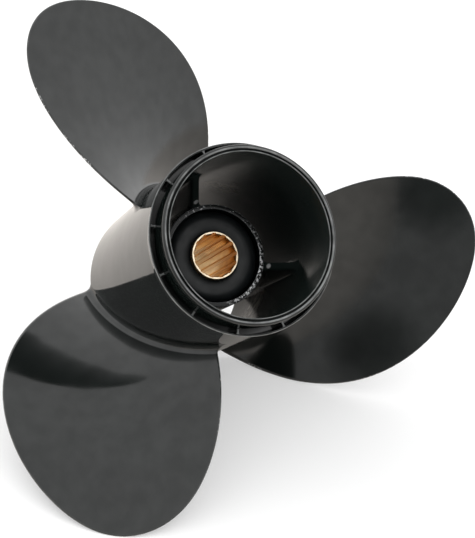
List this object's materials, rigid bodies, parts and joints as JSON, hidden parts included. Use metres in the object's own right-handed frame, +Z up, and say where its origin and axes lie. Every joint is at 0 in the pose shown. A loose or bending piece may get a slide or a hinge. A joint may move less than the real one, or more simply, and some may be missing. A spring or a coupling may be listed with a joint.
{
  "type": "boat propeller",
  "caption": "Right-hand boat propeller: blades on a through-hub exhaust barrel, with a rubber bush and splined brass sleeve at its centre.",
  "frame": {"origin": "on the shaft axis, halfway along the splined bore", "axes": "+Y along the shaft, forward towards the engine's gearcase; the exhaust outlet faces -Y; +Z up, through the generator line of the first blade"},
  "size_m": [0.3055, 0.151, 0.2822],
  "materials": {
    "black_paint": "gloss black paint on cast aluminium",
    "rubber": "moulded, satin",
    "brass": "machined"
  },
  "bodies": {
    "sleeve": {"splined_sleeve": "brass"},
    "bush": {"rubber_bush": "rubber"},
    "wheel": {"hub_barrel": "black_paint", "flared_ring": "black_paint", "tail_tube": "black_paint", "pocket_ribs": "black_paint", "inner_hub": "black_paint", "spoke_1": "black_paint", "spoke_2": "black_paint", "spoke_3": "black_paint", "blade_1": "black_paint", "blade_2": "black_paint", "blade_3": "black_paint"}
  },
  "joints": [
    {"name": "bush_twist", "type": "hinge", "parent": "sleeve", "child": "bush", "pos_m": [0, 0, 0], "axis": [0, 1, 0], "range_deg": [-8, 8], "stiffness_Nm_per_rad": 1200},
    {"name": "bush_slip", "type": "hinge", "parent": "bush", "child": "wheel", "pos_m": [0, 0, 0], "axis": [0, 1, 0], "continuous": true}
  ]
}
